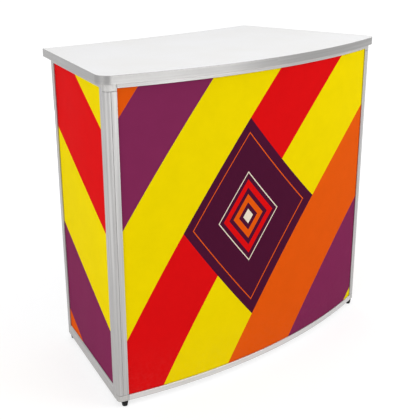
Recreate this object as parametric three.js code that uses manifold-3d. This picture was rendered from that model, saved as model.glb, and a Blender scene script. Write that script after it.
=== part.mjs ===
// Folding portable bar: a bowed front frame, two side frames that fold in behind it, a lift-off countertop.
// Millimetres, +Z up. Customers stand on the -Y side and the server on the +Y side.
import * as THREE from 'three';
import { mergeVertices } from 'three/addons/utils/BufferGeometryUtils.js';
import Module from 'manifold-3d';

const wasm = await Module();
wasm.setup();

// Whole bar
const barHeight = 1050;
const frontChord = 1145; // between the outer corners of the two front posts
const frontBow = 85; // how far the middle of the front stands out from that chord
const sideLength = 518; // from a front corner to the rear end of the side frame
const sideSplay = THREE.MathUtils.degToRad(14.7); // the sides close in towards the rear
const footHeight = 20;
const fitGap = 0.3; // between pieces that seat on each other

// Countertop
const topThickness = 25;
const topOverhangFront = 13;
const topOverhangSide = 19;
const topOverhangRear = 24;
const topRearHollow = 24; // depth of the hollow curve along the rear edge
const topFrontRadius = 42; // rounding of the two front corners
const topRearRadius = 6; // the same at the rear
const edgeBandThickness = 2.5;

// Printed panels and the slots that hold them
const panelThickness = 4;
const frontPanelInset = 5; // from the outer face of the front frame to the face of its panel
const sidePanelInset = 5; // the same on the side frames
const slotDepth = 8;
const slotPlay = 0.5; // free room on each face of a panel

// Front corner posts and their end blocks
const postWidth = 36; // along the front
const postDepth = 22; // along the side
const postRadius = 15;
const postWall = 3;
const decorGrooveWidth = 2.2;
const decorGrooveDepth = 1.3;
const decorGrooveSetback = 2; // from the end of the rounded corner
const blockHeight = 21;
const blockEdgeRadius = 1.2;
const spigotLength = 32;

// Curved rails of the front frame
const frontRailDepth = 20;
const frontTopRailHeight = 13;
const frontBottomRailHeight = 20;
const frontRailLip = 1.5; // chamfer on the outer edges

// Side frames
const stileWidth = 20;
const rearStileWidth = 25;
const tubeWall = 2.5;
const stileEdge = 3; // rounding of the outer edges
const sideTopRailHeight = 15;
const sideBottomRailHeight = 38;
const ledgeHeight = 6; // sloping upper edge of the bottom rail
const ledgeTip = 1.2; // flat left at the top of that slope

// Corner gussets inside the side frames
const gussetLeg = 58;
const gussetWidth = 18;
const gussetThickness = 2;
const gussetSetback = 3; // from the outer edges of the frame

// Butt hinges between the posts and the side frames
const hingeHeight = 80;
const hingeSetback = 150; // from the end of the post to the middle of the outer hinges
const knuckleCount = 5;
const knuckleRadius = 4;
const knuckleStub = 4;
const leafWidth = 24;
const leafThickness = 1.2;
const leafClearance = 0.4;
const pinRadius = 2;
const pinClearance = 0.25;
const pinHeadRadius = 3.2;
const pinHeadHeight = 2;

// Locating pins, bushes, magnets and strike plates under the countertop
const locatorRadius = 5;
const locatorHeight = 13;
const locatorShank = 12;
const bushWall = 3.5;
const bushHeight = 15;
const locatorInward = 13;
const magnetRadius = 8;
const magnetThickness = 4;
const magnetSetback = 70; // from the rear end of the side frame
const strikeRadius = 13;
const strikeThickness = 2;

// Rubber feet
const footTopRadius = 11;
const footBottomRadius = 8.5;
const footRim = 6; // height of the straight upper band
const footEdge = 1; // chamfer round the sole
const footStudRadius = 4;
const footPlugLength = 14;
const frontFootInward = 25;
const rearFootInward = 15;

// Fineness of curved faces
const bowSteps = 32;
const cornerSteps = 8;
const roundSteps = 20;
const knuckleSteps = 14;
const weldTolerance = 1e-4;

// Sizes that follow from the ones above
const bowRadius = (frontChord ** 2 / 4 + frontBow ** 2) / (2 * frontBow);
const bowCentreY = bowRadius - frontBow;
const topUnderside = barHeight - topThickness;
const frameTop = topUnderside - fitGap;
const frameBottom = footHeight;
const postBottom = frameBottom + blockHeight + fitGap;
const postTop = frameTop - blockHeight - fitGap;
const slotFloor = postWidth - slotDepth;
const hingeGap = 2 * (fitGap + leafThickness) + leafClearance;
const sideStart = postDepth + hingeGap;
const stileEnd = sideStart + stileWidth;
const rearStileStart = sideLength - rearStileWidth;
const pivotInward = postWidth + leafClearance + knuckleRadius;
const pivotRearward = postDepth + hingeGap / 2;
const hands = { left: -1, right: 1 };

const finishes = {
  aluminium: new THREE.MeshStandardMaterial({ color: 0xc4c6c8, roughness: 0.38, metalness: 0.85 }),
  darkAluminium: new THREE.MeshStandardMaterial({ color: 0xa9abad, roughness: 0.42, metalness: 0.85 }),
  laminate: new THREE.MeshStandardMaterial({ color: 0xeeeeec, roughness: 0.35, metalness: 0 }),
  edging: new THREE.MeshStandardMaterial({ color: 0xd2d4d5, roughness: 0.4, metalness: 0.6 }),
  print: new THREE.MeshStandardMaterial({ color: 0xe8cf1e, roughness: 0.45, metalness: 0 }),
  rubber: new THREE.MeshStandardMaterial({ color: 0x161617, roughness: 0.85, metalness: 0 }),
  steel: new THREE.MeshStandardMaterial({ color: 0x9b9da0, roughness: 0.3, metalness: 1 }),
  plastic: new THREE.MeshStandardMaterial({ color: 0x2a2a2c, roughness: 0.6, metalness: 0 }),
};

// Points on a circular arc from one angle to another
function arcPoints(x, y, radius, from, to, steps) {
  return Array.from({ length: steps + 1 }, (_, k) => {
    const angle = from + ((to - from) * k) / steps;
    return new THREE.Vector2(x + radius * Math.cos(angle), y + radius * Math.sin(angle));
  });
}

// Upright prism on a plan outline
function upright(shape, low, high) {
  const geometry = new THREE.ExtrudeGeometry(shape, { depth: high - low, bevelEnabled: false });
  return geometry.translate(0, 0, low);
}

// Prism with rounded ends that keeps within its outline and its height
function softUpright(shape, low, high, edge) {
  const geometry = new THREE.ExtrudeGeometry(shape, {
    depth: high - low - 2 * edge,
    bevelThickness: edge,
    bevelSize: edge,
    bevelOffset: -edge,
    bevelSegments: 2,
  });
  return geometry.translate(0, 0, low + edge);
}

// Prism along +Y on a section drawn in X and Z
function alongSide(shape, start, end) {
  const geometry = new THREE.ExtrudeGeometry(shape, { depth: end - start, bevelEnabled: false });
  return geometry.rotateX(Math.PI / 2).translate(0, end, 0);
}

// Solid turned about an upright axis, from a profile of radius and height
function turned(profile, steps = roundSteps) {
  const points = profile.map(([radius, height]) => new THREE.Vector2(radius, height));
  return new THREE.LatheGeometry(points, steps).rotateX(Math.PI / 2);
}

function solidOf(geometry) {
  const bare = geometry.clone();
  bare.deleteAttribute('normal');
  bare.deleteAttribute('uv');
  const welded = mergeVertices(bare, weldTolerance);
  const mesh = new wasm.Mesh({
    numProp: 3,
    vertProperties: Float32Array.from(welded.attributes.position.array),
    triVerts: Uint32Array.from(welded.index.array),
  });
  return new wasm.Manifold(mesh);
}

function geometryOf(solid) {
  const mesh = solid.getMesh();
  const geometry = new THREE.BufferGeometry();
  geometry.setAttribute('position', new THREE.BufferAttribute(Float32Array.from(mesh.vertProperties), 3));
  geometry.setIndex(new THREE.BufferAttribute(Uint32Array.from(mesh.triVerts), 1));
  return geometry;
}

function joined(...geometries) {
  return geometryOf(geometries.map(solidOf).reduce((whole, piece) => whole.add(piece)));
}

function cut(body, ...tools) {
  return geometryOf(tools.map(solidOf).reduce((left, tool) => left.subtract(tool), solidOf(body)));
}

// The bow: points are given by a radius from its centre and an angle from the middle of the front
function bowPoint(radius, angle) {
  return new THREE.Vector2(radius * Math.sin(angle), bowCentreY - radius * Math.cos(angle));
}

// Angle at which an arc of this radius is a given distance inward from the outer face of a side
function angleAtInward(radius, inward) {
  const offset = (frontChord / 2) * Math.cos(sideSplay) - bowCentreY * Math.sin(sideSplay);
  return sideSplay - Math.asin((inward - offset) / radius);
}

// Distance of that point behind the front corner, measured along the side
function rearwardAt(radius, inward) {
  const point = bowPoint(radius, -angleAtInward(radius, inward));
  return (point.x + frontChord / 2) * Math.sin(sideSplay) + point.y * Math.cos(sideSplay);
}

// Section of radius and height carried round the bow, closed at both ends
function roundBow(section, halfAngle) {
  const positions = [];
  for (let step = 0; step <= bowSteps; step += 1) {
    const angle = halfAngle * ((2 * step) / bowSteps - 1);
    for (const corner of section) {
      const point = bowPoint(corner.x, angle);
      positions.push(point.x, point.y, corner.y);
    }
  }
  const count = section.length;
  const faces = [];
  for (let step = 0; step < bowSteps; step += 1) {
    for (let k = 0; k < count; k += 1) {
      const here = step * count + k;
      const beside = step * count + ((k + 1) % count);
      faces.push(here, here + count, beside + count, here, beside + count, beside);
    }
  }
  const last = bowSteps * count;
  for (const [a, b, c] of THREE.ShapeUtils.triangulateShape(section, [])) {
    faces.push(a, b, c, last + a, last + c, last + b);
  }
  const geometry = new THREE.BufferGeometry();
  geometry.setAttribute('position', new THREE.Float32BufferAttribute(positions, 3));
  geometry.setIndex(faces);
  return geometry;
}

// Corner frames: inward runs from the outer face of the side, rearward runs back along the side
function cornerShape(hand, points, hole) {
  const toPlan = (outline) => {
    const plan = outline.map((point) => new THREE.Vector2(-hand * point.x, point.y));
    return hand < 0 ? plan : plan.reverse();
  };
  const shape = new THREE.Shape(toPlan(points));
  if (hole) shape.holes.push(new THREE.Path(toPlan(hole)));
  return shape;
}

function corners(...pairs) {
  return pairs.map(([x, y]) => new THREE.Vector2(x, y));
}

function block(lowX, lowY, highX, highY) {
  return corners([lowX, lowY], [highX, lowY], [highX, highY], [lowX, highY]);
}

function circle(x, y, radius, steps = roundSteps) {
  return arcPoints(x, y, radius, 0, 2 * Math.PI, steps).slice(0, -1);
}

const bar = new THREE.Group();

function addPiece(group, name, geometry, finish) {
  const mesh = new THREE.Mesh(geometry, finish);
  mesh.name = name;
  group.add(mesh);
  return mesh;
}

const cornerGroups = {};
for (const [side, hand] of Object.entries(hands)) {
  const group = new THREE.Group();
  group.position.set((hand * frontChord) / 2, 0, 0);
  group.rotation.z = hand * sideSplay;
  cornerGroups[side] = group;
  bar.add(group);
}

// Front panel: its edges stand in the posts' slots and in the rails' grooves
const panelFrontRadius = bowRadius - frontPanelInset;
const panelRearRadius = panelFrontRadius - panelThickness;
const panelEdgeInward = slotFloor + slotPlay;
const panelLow = frameBottom + frontBottomRailHeight - slotDepth + slotPlay;
const panelHigh = frameTop - frontTopRailHeight + slotDepth - slotPlay;

function frontPanel() {
  const section = block(panelRearRadius, panelLow, panelFrontRadius, panelHigh);
  const reach = [panelFrontRadius, panelRearRadius].map((radius) => angleAtInward(radius, panelEdgeInward));
  return roundBow(section, Math.min(...reach));
}
addPiece(bar, 'front_panel', frontPanel(), finishes.print);

// Curved rails: chamfered outer face and a groove for the panel, between the two corner blocks
function frontRail(outerEdge, grooveEdge) {
  const way = Math.sign(grooveEdge - outerEdge);
  const rear = bowRadius - frontRailDepth;
  const grooveFloor = grooveEdge - way * slotDepth;
  const section = corners(
    [rear, outerEdge],
    [bowRadius - frontRailLip, outerEdge],
    [bowRadius, outerEdge + way * frontRailLip],
    [bowRadius, grooveEdge - way * frontRailLip],
    [bowRadius - frontRailLip, grooveEdge],
    [panelFrontRadius + slotPlay, grooveEdge],
    [panelFrontRadius + slotPlay, grooveFloor],
    [panelRearRadius - slotPlay, grooveFloor],
    [panelRearRadius - slotPlay, grooveEdge],
    [rear, grooveEdge],
  );
  const upwards = way > 0 ? section : section.reverse();
  const reach = [bowRadius, rear].map((radius) => angleAtInward(radius, postWidth + fitGap));
  return roundBow(upwards, Math.min(...reach));
}
const frontBottomRail = frontRail(frameBottom, frameBottom + frontBottomRailHeight);
addPiece(bar, 'front_bottom_rail', frontBottomRail, finishes.aluminium);
addPiece(bar, 'front_top_rail', frontRail(frameTop, frameTop - frontTopRailHeight), finishes.aluminium);

// Front posts: rounded outer corner, decor grooves, panel slot and a hollow core
const slotEnds = [slotFloor, postWidth];
const slotFront = Math.min(...slotEnds.map((inward) => rearwardAt(panelFrontRadius, inward))) - slotPlay;
const slotRear = Math.max(...slotEnds.map((inward) => rearwardAt(panelRearRadius, inward))) + slotPlay;
const roundedCorner = arcPoints(postRadius, postRadius, postRadius, Math.PI, 1.5 * Math.PI, cornerSteps);
const slottedEnd = corners(
  [postWidth, 0],
  [postWidth, slotFront],
  [slotFloor, slotFront],
  [slotFloor, slotRear],
  [postWidth, slotRear],
  [postWidth, postDepth],
  [0, postDepth],
);

function postOutline() {
  const middle = postRadius + decorGrooveSetback + decorGrooveWidth / 2;
  const half = decorGrooveWidth / 2;
  return [
    ...roundedCorner,
    ...corners([middle - half, 0], [middle, decorGrooveDepth], [middle + half, 0]),
    ...slottedEnd,
    ...corners([0, middle + half], [decorGrooveDepth, middle], [0, middle - half]),
  ];
}

function coreOutline(wall) {
  const round = arcPoints(postRadius, postRadius, postRadius - wall, Math.PI, 1.5 * Math.PI, cornerSteps);
  const inner = slotFloor - wall;
  const rear = postDepth - wall;
  return [...round, ...corners([inner, wall], [inner, rear], [wall, rear])];
}

function cornerBlock(hand, low, high, spigotLow, spigotHigh) {
  const edge = Math.min(blockEdgeRadius, slotFront / 3);
  const body = softUpright(cornerShape(hand, [...roundedCorner, ...slottedEnd]), low, high, edge);
  const spigot = upright(cornerShape(hand, coreOutline(postWall + fitGap)), spigotLow, spigotHigh);
  return joined(body, spigot);
}

function locatorHole(hand, radius, low, high) {
  return upright(cornerShape(hand, circle(locatorInward, postDepth / 2, radius)), low, high);
}

for (const [side, hand] of Object.entries(hands)) {
  const group = cornerGroups[side];
  const post = upright(cornerShape(hand, postOutline(), coreOutline(postWall)), postBottom, postTop);
  addPiece(group, `front_${side}_post`, post, finishes.aluminium);

  const topLow = frameTop - blockHeight;
  const topBlock = cornerBlock(hand, topLow, frameTop, topLow - spigotLength, topLow + blockHeight / 2);
  const shankFloor = frameTop - locatorShank - fitGap;
  const shankHole = locatorHole(hand, locatorRadius + fitGap, shankFloor, barHeight);
  addPiece(group, `front_${side}_top_block`, cut(topBlock, shankHole), finishes.darkAluminium);

  const bottomHigh = frameBottom + blockHeight;
  const bottomMiddle = frameBottom + blockHeight / 2;
  const bottomBlock = cornerBlock(hand, frameBottom, bottomHigh, bottomMiddle, bottomHigh + spigotLength);
  const studOutline = circle(frontFootInward, postDepth / 2, footStudRadius + fitGap);
  const studHole = upright(cornerShape(hand, studOutline), 0, frameBottom + footPlugLength + fitGap);
  addPiece(group, `front_${side}_bottom_block`, cut(bottomBlock, studHole), finishes.darkAluminium);

  const locator = turned([
    [0, frameTop - locatorShank],
    [locatorRadius, frameTop - locatorShank],
    [locatorRadius, topUnderside + locatorHeight - locatorRadius / 2],
    [locatorRadius / 2, topUnderside + locatorHeight],
    [0, topUnderside + locatorHeight],
  ]);
  locator.translate(-hand * locatorInward, postDepth / 2, 0);
  addPiece(group, `${side}_locating_pin`, locator, finishes.steel);
}

// Rubber feet: a tapered bumper with a stud under each block and a plug in each rear stile
function bumper() {
  return turned([
    [0, 0],
    [footBottomRadius - footEdge, 0],
    [footBottomRadius, footEdge],
    [footTopRadius, footHeight - footRim],
    [footTopRadius, footHeight - fitGap],
    [0, footHeight - fitGap],
  ]);
}

for (const [side, hand] of Object.entries(hands)) {
  const studOutline = new THREE.Shape(circle(0, 0, footStudRadius));
  const stud = upright(studOutline, footHeight / 2, footHeight + footPlugLength);
  const foot = joined(bumper(), stud).translate(-hand * frontFootInward, postDepth / 2, 0);
  addPiece(cornerGroups[side], `front_${side}_foot`, foot, finishes.rubber);
}

// Side frames: two slotted tube stiles, two slotted tube rails and a printed panel
const sideSlotOuter = sidePanelInset - slotPlay;
const sideSlotInner = sidePanelInset + panelThickness + slotPlay;
const stileDepth = postWidth;
const coreOuter = sideSlotInner + tubeWall;
const coreInner = stileDepth - tubeWall;

// Tube section that faces the panel at "face" and has its plain edge at "back"
function stileOutline(face, back) {
  const way = Math.sign(back - face);
  const floor = face + way * slotDepth;
  return corners(
    [sideSlotOuter, face],
    [sideSlotOuter, floor],
    [sideSlotInner, floor],
    [sideSlotInner, face],
    [stileDepth, face],
    [stileDepth, back],
    [stileEdge, back],
    [0, back - way * stileEdge],
    [0, face],
  );
}

function stileCore(low, high) {
  return block(coreOuter, low + tubeWall, coreInner, high - tubeWall);
}

function sideTopRailSection() {
  const low = frameTop - sideTopRailHeight;
  return corners(
    [0, low],
    [sideSlotOuter, low],
    [sideSlotOuter, low + slotDepth],
    [sideSlotInner, low + slotDepth],
    [sideSlotInner, low],
    [stileDepth, low],
    [stileDepth, frameTop],
    [0, frameTop],
  );
}

function sideBottomRailSection() {
  const high = frameBottom + sideBottomRailHeight;
  return corners(
    [0, frameBottom],
    [stileDepth, frameBottom],
    [stileDepth, high],
    [sideSlotInner, high],
    [sideSlotInner, high - slotDepth],
    [sideSlotOuter, high - slotDepth],
    [sideSlotOuter, high],
    [sideSlotOuter - ledgeTip, high],
    [0, high - ledgeHeight],
  );
}

function sidePanel(hand) {
  const plan = block(
    sidePanelInset,
    stileEnd - slotDepth + slotPlay,
    sidePanelInset + panelThickness,
    rearStileStart + slotDepth - slotPlay,
  );
  const low = frameBottom + sideBottomRailHeight - slotDepth + slotPlay;
  const high = frameTop - sideTopRailHeight + slotDepth - slotPlay;
  return upright(cornerShape(hand, plan), low, high);
}

// L-shaped plates that tie a rail to a stile on the inner face of the frame
function gusset(hand, rearward, height, wayRearward, wayUp) {
  const plate = corners(
    [0, 0],
    [gussetLeg, 0],
    [gussetLeg, gussetWidth],
    [gussetWidth, gussetLeg],
    [0, gussetLeg],
  ).map((point) => new THREE.Vector2(rearward + wayRearward * point.x, height + wayUp * point.y));
  const geometry = new THREE.ExtrudeGeometry(new THREE.Shape(plate), {
    depth: gussetThickness,
    bevelEnabled: false,
  });
  const upAndAlong = new THREE.Matrix4().makeBasis(
    new THREE.Vector3(0, 1, 0),
    new THREE.Vector3(0, 0, 1),
    new THREE.Vector3(1, 0, 0),
  );
  const inner = stileDepth + fitGap;
  return geometry.applyMatrix4(upAndAlong).translate(hand < 0 ? inner : -inner - gussetThickness, 0, 0);
}

const magnetInward = stileDepth / 2;
const magnetRearward = sideLength - magnetSetback;
const railStart = stileEnd + fitGap;
const railEnd = rearStileStart - fitGap;

function magnetDisc(hand, radius, low, high) {
  return upright(cornerShape(hand, circle(magnetInward, magnetRearward, radius)), low, high);
}

for (const [side, hand] of Object.entries(hands)) {
  const group = cornerGroups[side];
  const frontOutline = stileOutline(stileEnd, sideStart);
  const frontStile = cornerShape(hand, frontOutline, stileCore(sideStart, stileEnd));
  addPiece(group, `${side}_front_stile`, upright(frontStile, frameBottom, frameTop), finishes.aluminium);
  const rearOutline = stileOutline(rearStileStart, sideLength);
  const rearStile = cornerShape(hand, rearOutline, stileCore(rearStileStart, sideLength));
  addPiece(group, `${side}_rear_stile`, upright(rearStile, frameBottom, frameTop), finishes.aluminium);

  const topRail = alongSide(cornerShape(hand, sideTopRailSection()), railStart, railEnd);
  const pocket = magnetDisc(hand, magnetRadius + fitGap, frameTop - magnetThickness - fitGap, barHeight);
  addPiece(group, `${side}_top_rail`, cut(topRail, pocket), finishes.aluminium);
  const railCore = stileCore(frameBottom, frameBottom + sideBottomRailHeight);
  const bottomRail = alongSide(cornerShape(hand, sideBottomRailSection(), railCore), railStart, railEnd);
  addPiece(group, `${side}_bottom_rail`, bottomRail, finishes.aluminium);
  addPiece(group, `${side}_panel`, sidePanel(hand), finishes.print);

  const magnet = magnetDisc(hand, magnetRadius, frameTop - magnetThickness, frameTop);
  addPiece(group, `${side}_magnet`, magnet, finishes.steel);

  const plugOutline = block(
    coreOuter + fitGap,
    rearStileStart + tubeWall + fitGap,
    coreInner - fitGap,
    sideLength - tubeWall - fitGap,
  );
  const footPlace = [-hand * rearFootInward, (rearStileStart + sideLength) / 2, 0];
  const plugLow = footHeight - fitGap - footEdge;
  const plug = upright(cornerShape(hand, plugOutline), plugLow, footHeight + footPlugLength);
  const foot = joined(bumper().translate(...footPlace), plug);
  addPiece(group, `${side}_rear_foot`, foot, finishes.rubber);
}

// One gusset at each corner of a side frame
for (const [side, hand] of Object.entries(hands)) {
  const places = {
    front_lower: [sideStart + gussetSetback, frameBottom + gussetSetback, 1, 1],
    front_upper: [sideStart + gussetSetback, frameTop - gussetSetback, 1, -1],
    rear_lower: [sideLength - gussetSetback, frameBottom + gussetSetback, -1, 1],
    rear_upper: [sideLength - gussetSetback, frameTop - gussetSetback, -1, -1],
  };
  for (const [corner, place] of Object.entries(places)) {
    addPiece(cornerGroups[side], `${side}_${corner}_gusset`, gusset(hand, ...place), finishes.steel);
  }
}

// Butt hinges: each leaf lies in the gap between post and stile, with its knuckles on the inner side
function knuckleShape(hand, low, high) {
  const from = Math.PI - Math.asin(low / knuckleRadius);
  const to = 3 * Math.PI - Math.asin(high / knuckleRadius);
  const barrel = arcPoints(pivotInward, pivotRearward, knuckleRadius, from, to, knuckleSteps);
  const tail = pivotInward - knuckleRadius - knuckleStub;
  const outline = [
    new THREE.Vector2(tail, pivotRearward + low),
    ...barrel,
    new THREE.Vector2(tail, pivotRearward + high),
  ];
  const bore = circle(pivotInward, pivotRearward, pinRadius + pinClearance, knuckleSteps);
  return cornerShape(hand, outline, bore);
}

function hingeLeaf(hand, bottom, firstKnuckle, low, high) {
  const plateEnd = pivotInward - knuckleRadius - fitGap;
  const plan = block(plateEnd - leafWidth, pivotRearward + low, plateEnd, pivotRearward + high);
  const pieces = [upright(cornerShape(hand, plan), bottom, bottom + hingeHeight)];
  const pitch = hingeHeight / knuckleCount;
  for (let k = firstKnuckle; k < knuckleCount; k += 2) {
    const floor = bottom + k * pitch + fitGap / 2;
    pieces.push(upright(knuckleShape(hand, low, high), floor, floor + pitch - fitGap));
  }
  return joined(...pieces);
}

function hingePin(bottom) {
  const top = bottom + hingeHeight;
  return turned([
    [0, bottom - pinHeadHeight],
    [pinRadius, bottom - pinHeadHeight],
    [pinHeadRadius, bottom - pinHeadHeight / 2],
    [pinHeadRadius, bottom - fitGap],
    [pinRadius, bottom - fitGap],
    [pinRadius, top + fitGap],
    [pinHeadRadius, top + fitGap],
    [pinHeadRadius, top + pinHeadHeight / 2],
    [pinRadius, top + pinHeadHeight],
    [0, top + pinHeadHeight],
  ], knuckleSteps);
}

const hingeMiddles = {
  lower: postBottom + hingeSetback,
  middle: (postBottom + postTop) / 2,
  upper: postTop - hingeSetback,
};
const leafNear = leafClearance / 2;
const leafFar = leafNear + leafThickness;

for (const [side, hand] of Object.entries(hands)) {
  for (const [level, middle] of Object.entries(hingeMiddles)) {
    const group = cornerGroups[side];
    const bottom = middle - hingeHeight / 2;
    const name = `${side}_${level}_hinge`;
    addPiece(group, `${name}_post_leaf`, hingeLeaf(hand, bottom, 0, -leafFar, -leafNear), finishes.steel);
    addPiece(group, `${name}_side_leaf`, hingeLeaf(hand, bottom, 1, leafNear, leafFar), finishes.steel);
    const pin = hingePin(bottom).translate(-hand * pivotInward, pivotRearward, 0);
    addPiece(group, `${name}_pin`, pin, finishes.steel);
  }
}

// Countertop: bowed front, splayed sides, hollow rear edge and rounded corners
function cornerPoint(hand, inward, rearward) {
  const across = frontChord / 2 - inward * Math.cos(sideSplay) - rearward * Math.sin(sideSplay);
  return new THREE.Vector2(hand * across, rearward * Math.cos(sideSplay) - inward * Math.sin(sideSplay));
}

function topOutline(inset) {
  const frontReach = bowRadius + topOverhangFront;
  const frontAngle = angleAtInward(frontReach - topFrontRadius, topFrontRadius - topOverhangSide);
  const front = bowPoint(frontReach - topFrontRadius, frontAngle);

  const rearTip = cornerPoint(1, -topOverhangSide, sideLength + topOverhangRear);
  const hollowRadius = (rearTip.x ** 2 + topRearHollow ** 2) / (2 * topRearHollow);
  const hollow = new THREE.Vector2(0, rearTip.y - topRearHollow + hollowRadius);
  const start = cornerPoint(1, topRearRadius - topOverhangSide, 0);
  const along = new THREE.Vector2(-Math.sin(sideSplay), Math.cos(sideSplay));
  const toStart = start.clone().sub(hollow);
  const lean = toStart.dot(along);
  const reach = Math.sqrt(lean ** 2 - toStart.lengthSq() + (hollowRadius + topRearRadius) ** 2);
  const rear = start.clone().addScaledVector(along, -lean - reach);
  const rearTurn = hollow.clone().sub(rear).angle();

  const middleSteps = bowSteps / 2;
  const frontHalf = Array.from({ length: middleSteps }, (_, k) => {
    return bowPoint(frontReach - inset, (frontAngle * k) / middleSteps);
  });
  const frontTurn = frontAngle - Math.PI / 2;
  const rearReach = hollowRadius + inset;
  const rearHalf = arcPoints(0, hollow.y, rearReach, rearTurn - Math.PI, -Math.PI / 2, middleSteps);
  const half = [
    ...frontHalf,
    ...arcPoints(front.x, front.y, topFrontRadius - inset, frontTurn, sideSplay, cornerSteps),
    ...arcPoints(rear.x, rear.y, topRearRadius - inset, sideSplay, rearTurn, cornerSteps),
    ...rearHalf.slice(1),
  ];
  const mirrored = half.slice(1, -1).reverse().map((point) => new THREE.Vector2(-point.x, point.y));
  return [...half, ...mirrored];
}

const bandShape = new THREE.Shape(topOutline(0));
bandShape.holes.push(new THREE.Path(topOutline(edgeBandThickness)));
const bandSolid = upright(bandShape, topUnderside, barHeight);
const edgeBand = addPiece(bar, 'countertop_edge_band', bandSolid, finishes.edging);

const bushBore = locatorRadius + slotPlay;
const bushRadius = bushBore + bushWall;
const boardPockets = [];
for (const [side, hand] of Object.entries(hands)) {
  const locator = cornerPoint(hand, locatorInward, postDepth / 2);
  const strike = cornerPoint(hand, magnetInward, magnetRearward);
  const bushPocket = new THREE.Shape(circle(locator.x, locator.y, bushRadius + fitGap));
  const strikePocket = new THREE.Shape(circle(strike.x, strike.y, strikeRadius + fitGap));
  boardPockets.push(upright(bushPocket, frameBottom, topUnderside + bushHeight + fitGap));
  boardPockets.push(upright(strikePocket, frameBottom, topUnderside + strikeThickness + fitGap));

  const bushShape = new THREE.Shape(circle(locator.x, locator.y, bushRadius));
  bushShape.holes.push(new THREE.Path(circle(locator.x, locator.y, bushBore)));
  const bush = upright(bushShape, topUnderside, topUnderside + bushHeight);
  addPiece(bar, `${side}_locating_bush`, bush, finishes.plastic);
  const strikeShape = new THREE.Shape(circle(strike.x, strike.y, strikeRadius));
  const strikePlate = upright(strikeShape, topUnderside, topUnderside + strikeThickness);
  addPiece(bar, `${side}_strike_plate`, strikePlate, finishes.steel);
}
const boardShape = new THREE.Shape(topOutline(edgeBandThickness + fitGap));
const boardBlank = upright(boardShape, topUnderside, barHeight);
addPiece(bar, 'countertop_board', cut(boardBlank, ...boardPockets), finishes.laminate);

// The origin is on the floor below the middle of the countertop
const topBox = new THREE.Box3().setFromObject(edgeBand);
bar.position.y = -(topBox.min.y + topBox.max.y) / 2;

export default bar;
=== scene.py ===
import math
import bpy
import numpy as np
from mathutils.geometry import tessellate_polygon
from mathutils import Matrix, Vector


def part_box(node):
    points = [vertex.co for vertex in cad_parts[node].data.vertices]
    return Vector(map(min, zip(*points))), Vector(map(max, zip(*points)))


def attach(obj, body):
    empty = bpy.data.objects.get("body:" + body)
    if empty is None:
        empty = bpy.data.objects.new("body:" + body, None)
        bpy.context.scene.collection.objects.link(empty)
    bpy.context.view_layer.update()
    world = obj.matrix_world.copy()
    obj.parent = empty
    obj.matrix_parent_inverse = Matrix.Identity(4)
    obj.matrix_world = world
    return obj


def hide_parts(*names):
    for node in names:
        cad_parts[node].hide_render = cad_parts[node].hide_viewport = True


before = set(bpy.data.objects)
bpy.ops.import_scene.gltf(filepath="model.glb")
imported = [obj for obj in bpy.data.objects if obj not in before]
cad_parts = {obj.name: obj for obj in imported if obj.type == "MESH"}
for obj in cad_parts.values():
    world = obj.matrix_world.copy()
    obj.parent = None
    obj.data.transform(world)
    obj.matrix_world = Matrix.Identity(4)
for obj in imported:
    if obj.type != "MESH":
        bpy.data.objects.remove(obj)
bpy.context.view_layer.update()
scene = bpy.context.scene


def heights(node):
    low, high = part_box(node)
    return low.z, high.z


# Plan of the bar in metres, with the same driving sizes as the solids
bar = dict(
    chord=1.145, bow=0.085, splay=math.radians(14.7), sideLength=0.518, postWidth=0.036, postDepth=0.022,
    panelThickness=0.004, frontInset=0.005, sideInset=0.005, slotDepth=0.008, slotPlay=0.0005,
    fitGap=0.0003,
)
hands = {"left": -1, "right": 1}
fitGap, slotDepth, slotPlay = bar["fitGap"], bar["slotDepth"], bar["slotPlay"]
cosSplay = math.cos(bar["splay"])
sinSplay = math.sin(bar["splay"])
bowRadius = (bar["chord"] ** 2 / 4 + bar["bow"] ** 2) / (2 * bar["bow"])
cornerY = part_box("front_top_rail")[0].y + bar["bow"]  # the front corners stand this far back in the frame
bowCentreY = cornerY + bowRadius - bar["bow"]
frameBottom = heights("front_left_bottom_block")[0]
frameTop = heights("front_left_top_block")[1]
topUnderside, topFace = heights("countertop_board")
panelFrontRadius = bowRadius - bar["frontInset"]
panelRearRadius = panelFrontRadius - bar["panelThickness"]

# How finely shapes are made, and how far wear and the painted shade in hollows reach round their edges
making = dict(
    arcSteps=4, endSteps=3, roundSteps=32, push=1e-5, tiny=1e-12, flat=1e-6,
    wear=0.0012, roundWear=0.0006, chamfer=0.0003, sharpAngle=math.radians(38),
    axis=0.0004, axisRound=0.0001,  # the disc at the axis of turned pieces
)


# Shapes

def unit(vectors):
    return vectors / np.linalg.norm(vectors, axis=-1, keepdims=True)


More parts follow.
